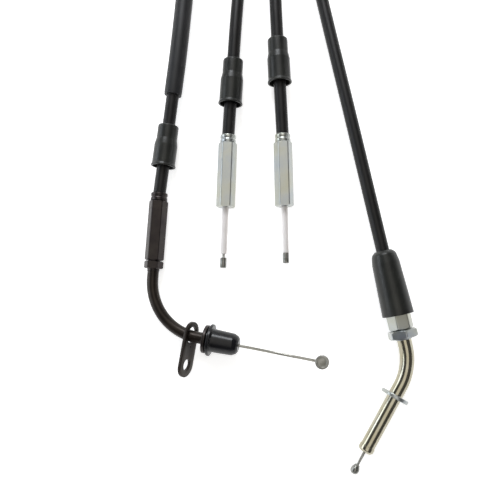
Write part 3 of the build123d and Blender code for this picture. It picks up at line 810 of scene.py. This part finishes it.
def make_floor():
    """Round white sheet that curves up at its rim, lit from inside so it stays almost free of shadows."""
    profile = [(FLOOR_R - COVE_R, 0.0)]
    for step in range(1, COVE_STEPS + 1):
        angle = math.pi / 2 * step / COVE_STEPS
        profile.append((FLOOR_R - COVE_R + COVE_R * math.sin(angle), COVE_R - COVE_R * math.cos(angle)))
    profile.append((FLOOR_R, WALL_HEIGHT))
    data = bmesh.new()
    turns = [2 * math.pi * i / FLOOR_SIDES for i in range(FLOOR_SIDES)]
    rings = [[data.verts.new((r * math.cos(turn), r * math.sin(turn), z)) for turn in turns]
             for r, z in profile]
    data.faces.new(rings[0])
    for ring, following in zip(rings, rings[1:]):
        bridge(data, ring, following)
    mesh = bpy.data.meshes.new("floor")
    data.to_mesh(mesh)
    data.free()
    floor = bpy.data.objects.new("floor", mesh)
    bpy.context.scene.collection.objects.link(floor)
    material, shader, _ = new_material("floor")
    shader.inputs["Base Color"].default_value = (0.9, 0.9, 0.9, 1)
    shader.inputs["Roughness"].default_value = 0.9
    shader.inputs["Emission Color"].default_value = (1, 1, 1, 1)
    shader.inputs["Emission Strength"].default_value = FLOOR_GLOW
    mesh.materials.append(material)


LIGHTS_AIM = (0.0, -0.10, 0.0)


def make_light(name, place, size, power, colour):
    """Softbox of the given width and length, aimed at the cable ends."""
    light = bpy.data.lights.new(name, "AREA")
    light.shape = "RECTANGLE"
    light.size, light.size_y = size
    light.energy = power
    light.color = colour
    lamp = bpy.data.objects.new(name, light)
    lamp.location = place
    aim = Vector(LIGHTS_AIM) - Vector(place)
    lamp.rotation_euler = aim.to_track_quat("-Z", "Y").to_euler()
    bpy.context.scene.collection.objects.link(lamp)


def make_sky():
    world = bpy.data.worlds.new("world")
    world.use_nodes = True
    background = world.node_tree.nodes["Background"]
    background.inputs["Color"].default_value = (1, 1, 1, 1)
    background.inputs["Strength"].default_value = SKY
    bpy.context.scene.world = world


made = []
make_camera()
cords = {node: make_cord(node) for node in ROUTES}
sleeve = make_sleeve(cord_line(cords["grip_casing"]))

for side in ("left", "right"):
    axis = joint_axis(side + "_wire_slide")
    made += [
        make_boot(side + "_carb_boot", side + "_boot_slide", side + "_boot"),
        make_collar(side + "_carb_collar", axis, "zinc_plate", radius=3.75, length=3.8),
        make_hex(side + "_carb_hex", axis, side + "_hex", "zinc_plate", across_flats=8.0, bore=1.58),
        make_lathe(side + "_carb_liner", axis, "cable_set", "white_nylon", LINER_OUTLINE),
        make_wire(side + "_carb_wire", axis, side + "_inner_wire"),
        make_nipple(side + "_carb_nipple", axis, side + "_inner_wire"),
    ]
made += [
    make_boot("grip_boot", "grip_boot_slide", "grip_boot", body_length=10.6, length=20.0),
    make_collar("grip_collar", GRIP, "black_plate", radius=3.9, length=3.8),
    make_hex("grip_adjuster", GRIP, "grip_adjuster", "black_plate", across_flats=8.0, bore=2.98),
    make_hex("grip_lock_nut", GRIP, "grip_lock_nut", "black_plate", across_flats=8.0, bore=2.98),
    make_pipe("elbow_pipe", bent_places("elbow_pipe", GRIP, ELBOW, bend_r=25.6), "elbow",
              "brown_black_plate", radius=2.65, bore=1.6),
    make_plate(),
    make_lathe("elbow_ring", ELBOW, "elbow", "black_plate", RING_OUTLINE),
    make_lathe("grip_bush", ELBOW, "elbow", "gloss_black", BUSH_OUTLINE),
    make_wire("grip_wire", ELBOW, "grip_inner_wire"),
    make_barrel(),
    make_dome_boot(),
    make_collar("pump_collar", PUMP, "zinc_plate", radius=4.5, length=4.0),
    make_hex("pump_adjuster", PUMP, "pump_adjuster", "zinc_plate", across_flats=10.0, bore=3.98),
    make_hex("pump_lock_nut", PUMP, "pump_lock_nut", "zinc_plate", across_flats=12.0, bore=3.98,
             turn=math.pi / 6),
    make_pipe("pump_pipe", bent_places("pump_pipe", PUMP, PUMP_END, bend_r=26.0), "pump_elbow",
              "olive_plate", radius=3.25, bore=1.6),
    make_lathe("pump_washer", PUMP_END, "pump_elbow", "zinc_plate", WASHER_OUTLINE),
    make_lathe("pump_end_collar", PUMP_END, "pump_elbow", "olive_plate", END_COLLAR_OUTLINE),
    make_wire("pump_wire", PUMP_END, "pump_inner_wire"),
    make_pear(),
    make_stem("elbow_stem", GRIP, "elbow", "black_plate", radius=2.9, bore=2.68),
    make_stem("pump_stem", PUMP, "pump_elbow", "zinc_plate", radius=3.9, bore=3.28),
    make_splitter_barrel(),
    *make_ferrules(),
]
paint_everything(made + [sleeve, *cords.values()])

make_floor()
make_light("overhead", (0.0, -0.10, 0.65), size=(0.42, 0.9), power=1.25, colour=(1.0, 0.96, 0.88))
make_light("window", (-0.12, 0.50, 0.50), size=(0.36, 0.26), power=3.6, colour=(0.93, 0.96, 1.0))
make_light("side", (-0.60, -0.05, 0.22), size=(0.5, 0.25), power=1.2, colour=(0.82, 0.90, 1.0))
make_sky()
bpy.context.scene.view_settings.view_transform = "Standard"
bpy.context.view_layer.update()
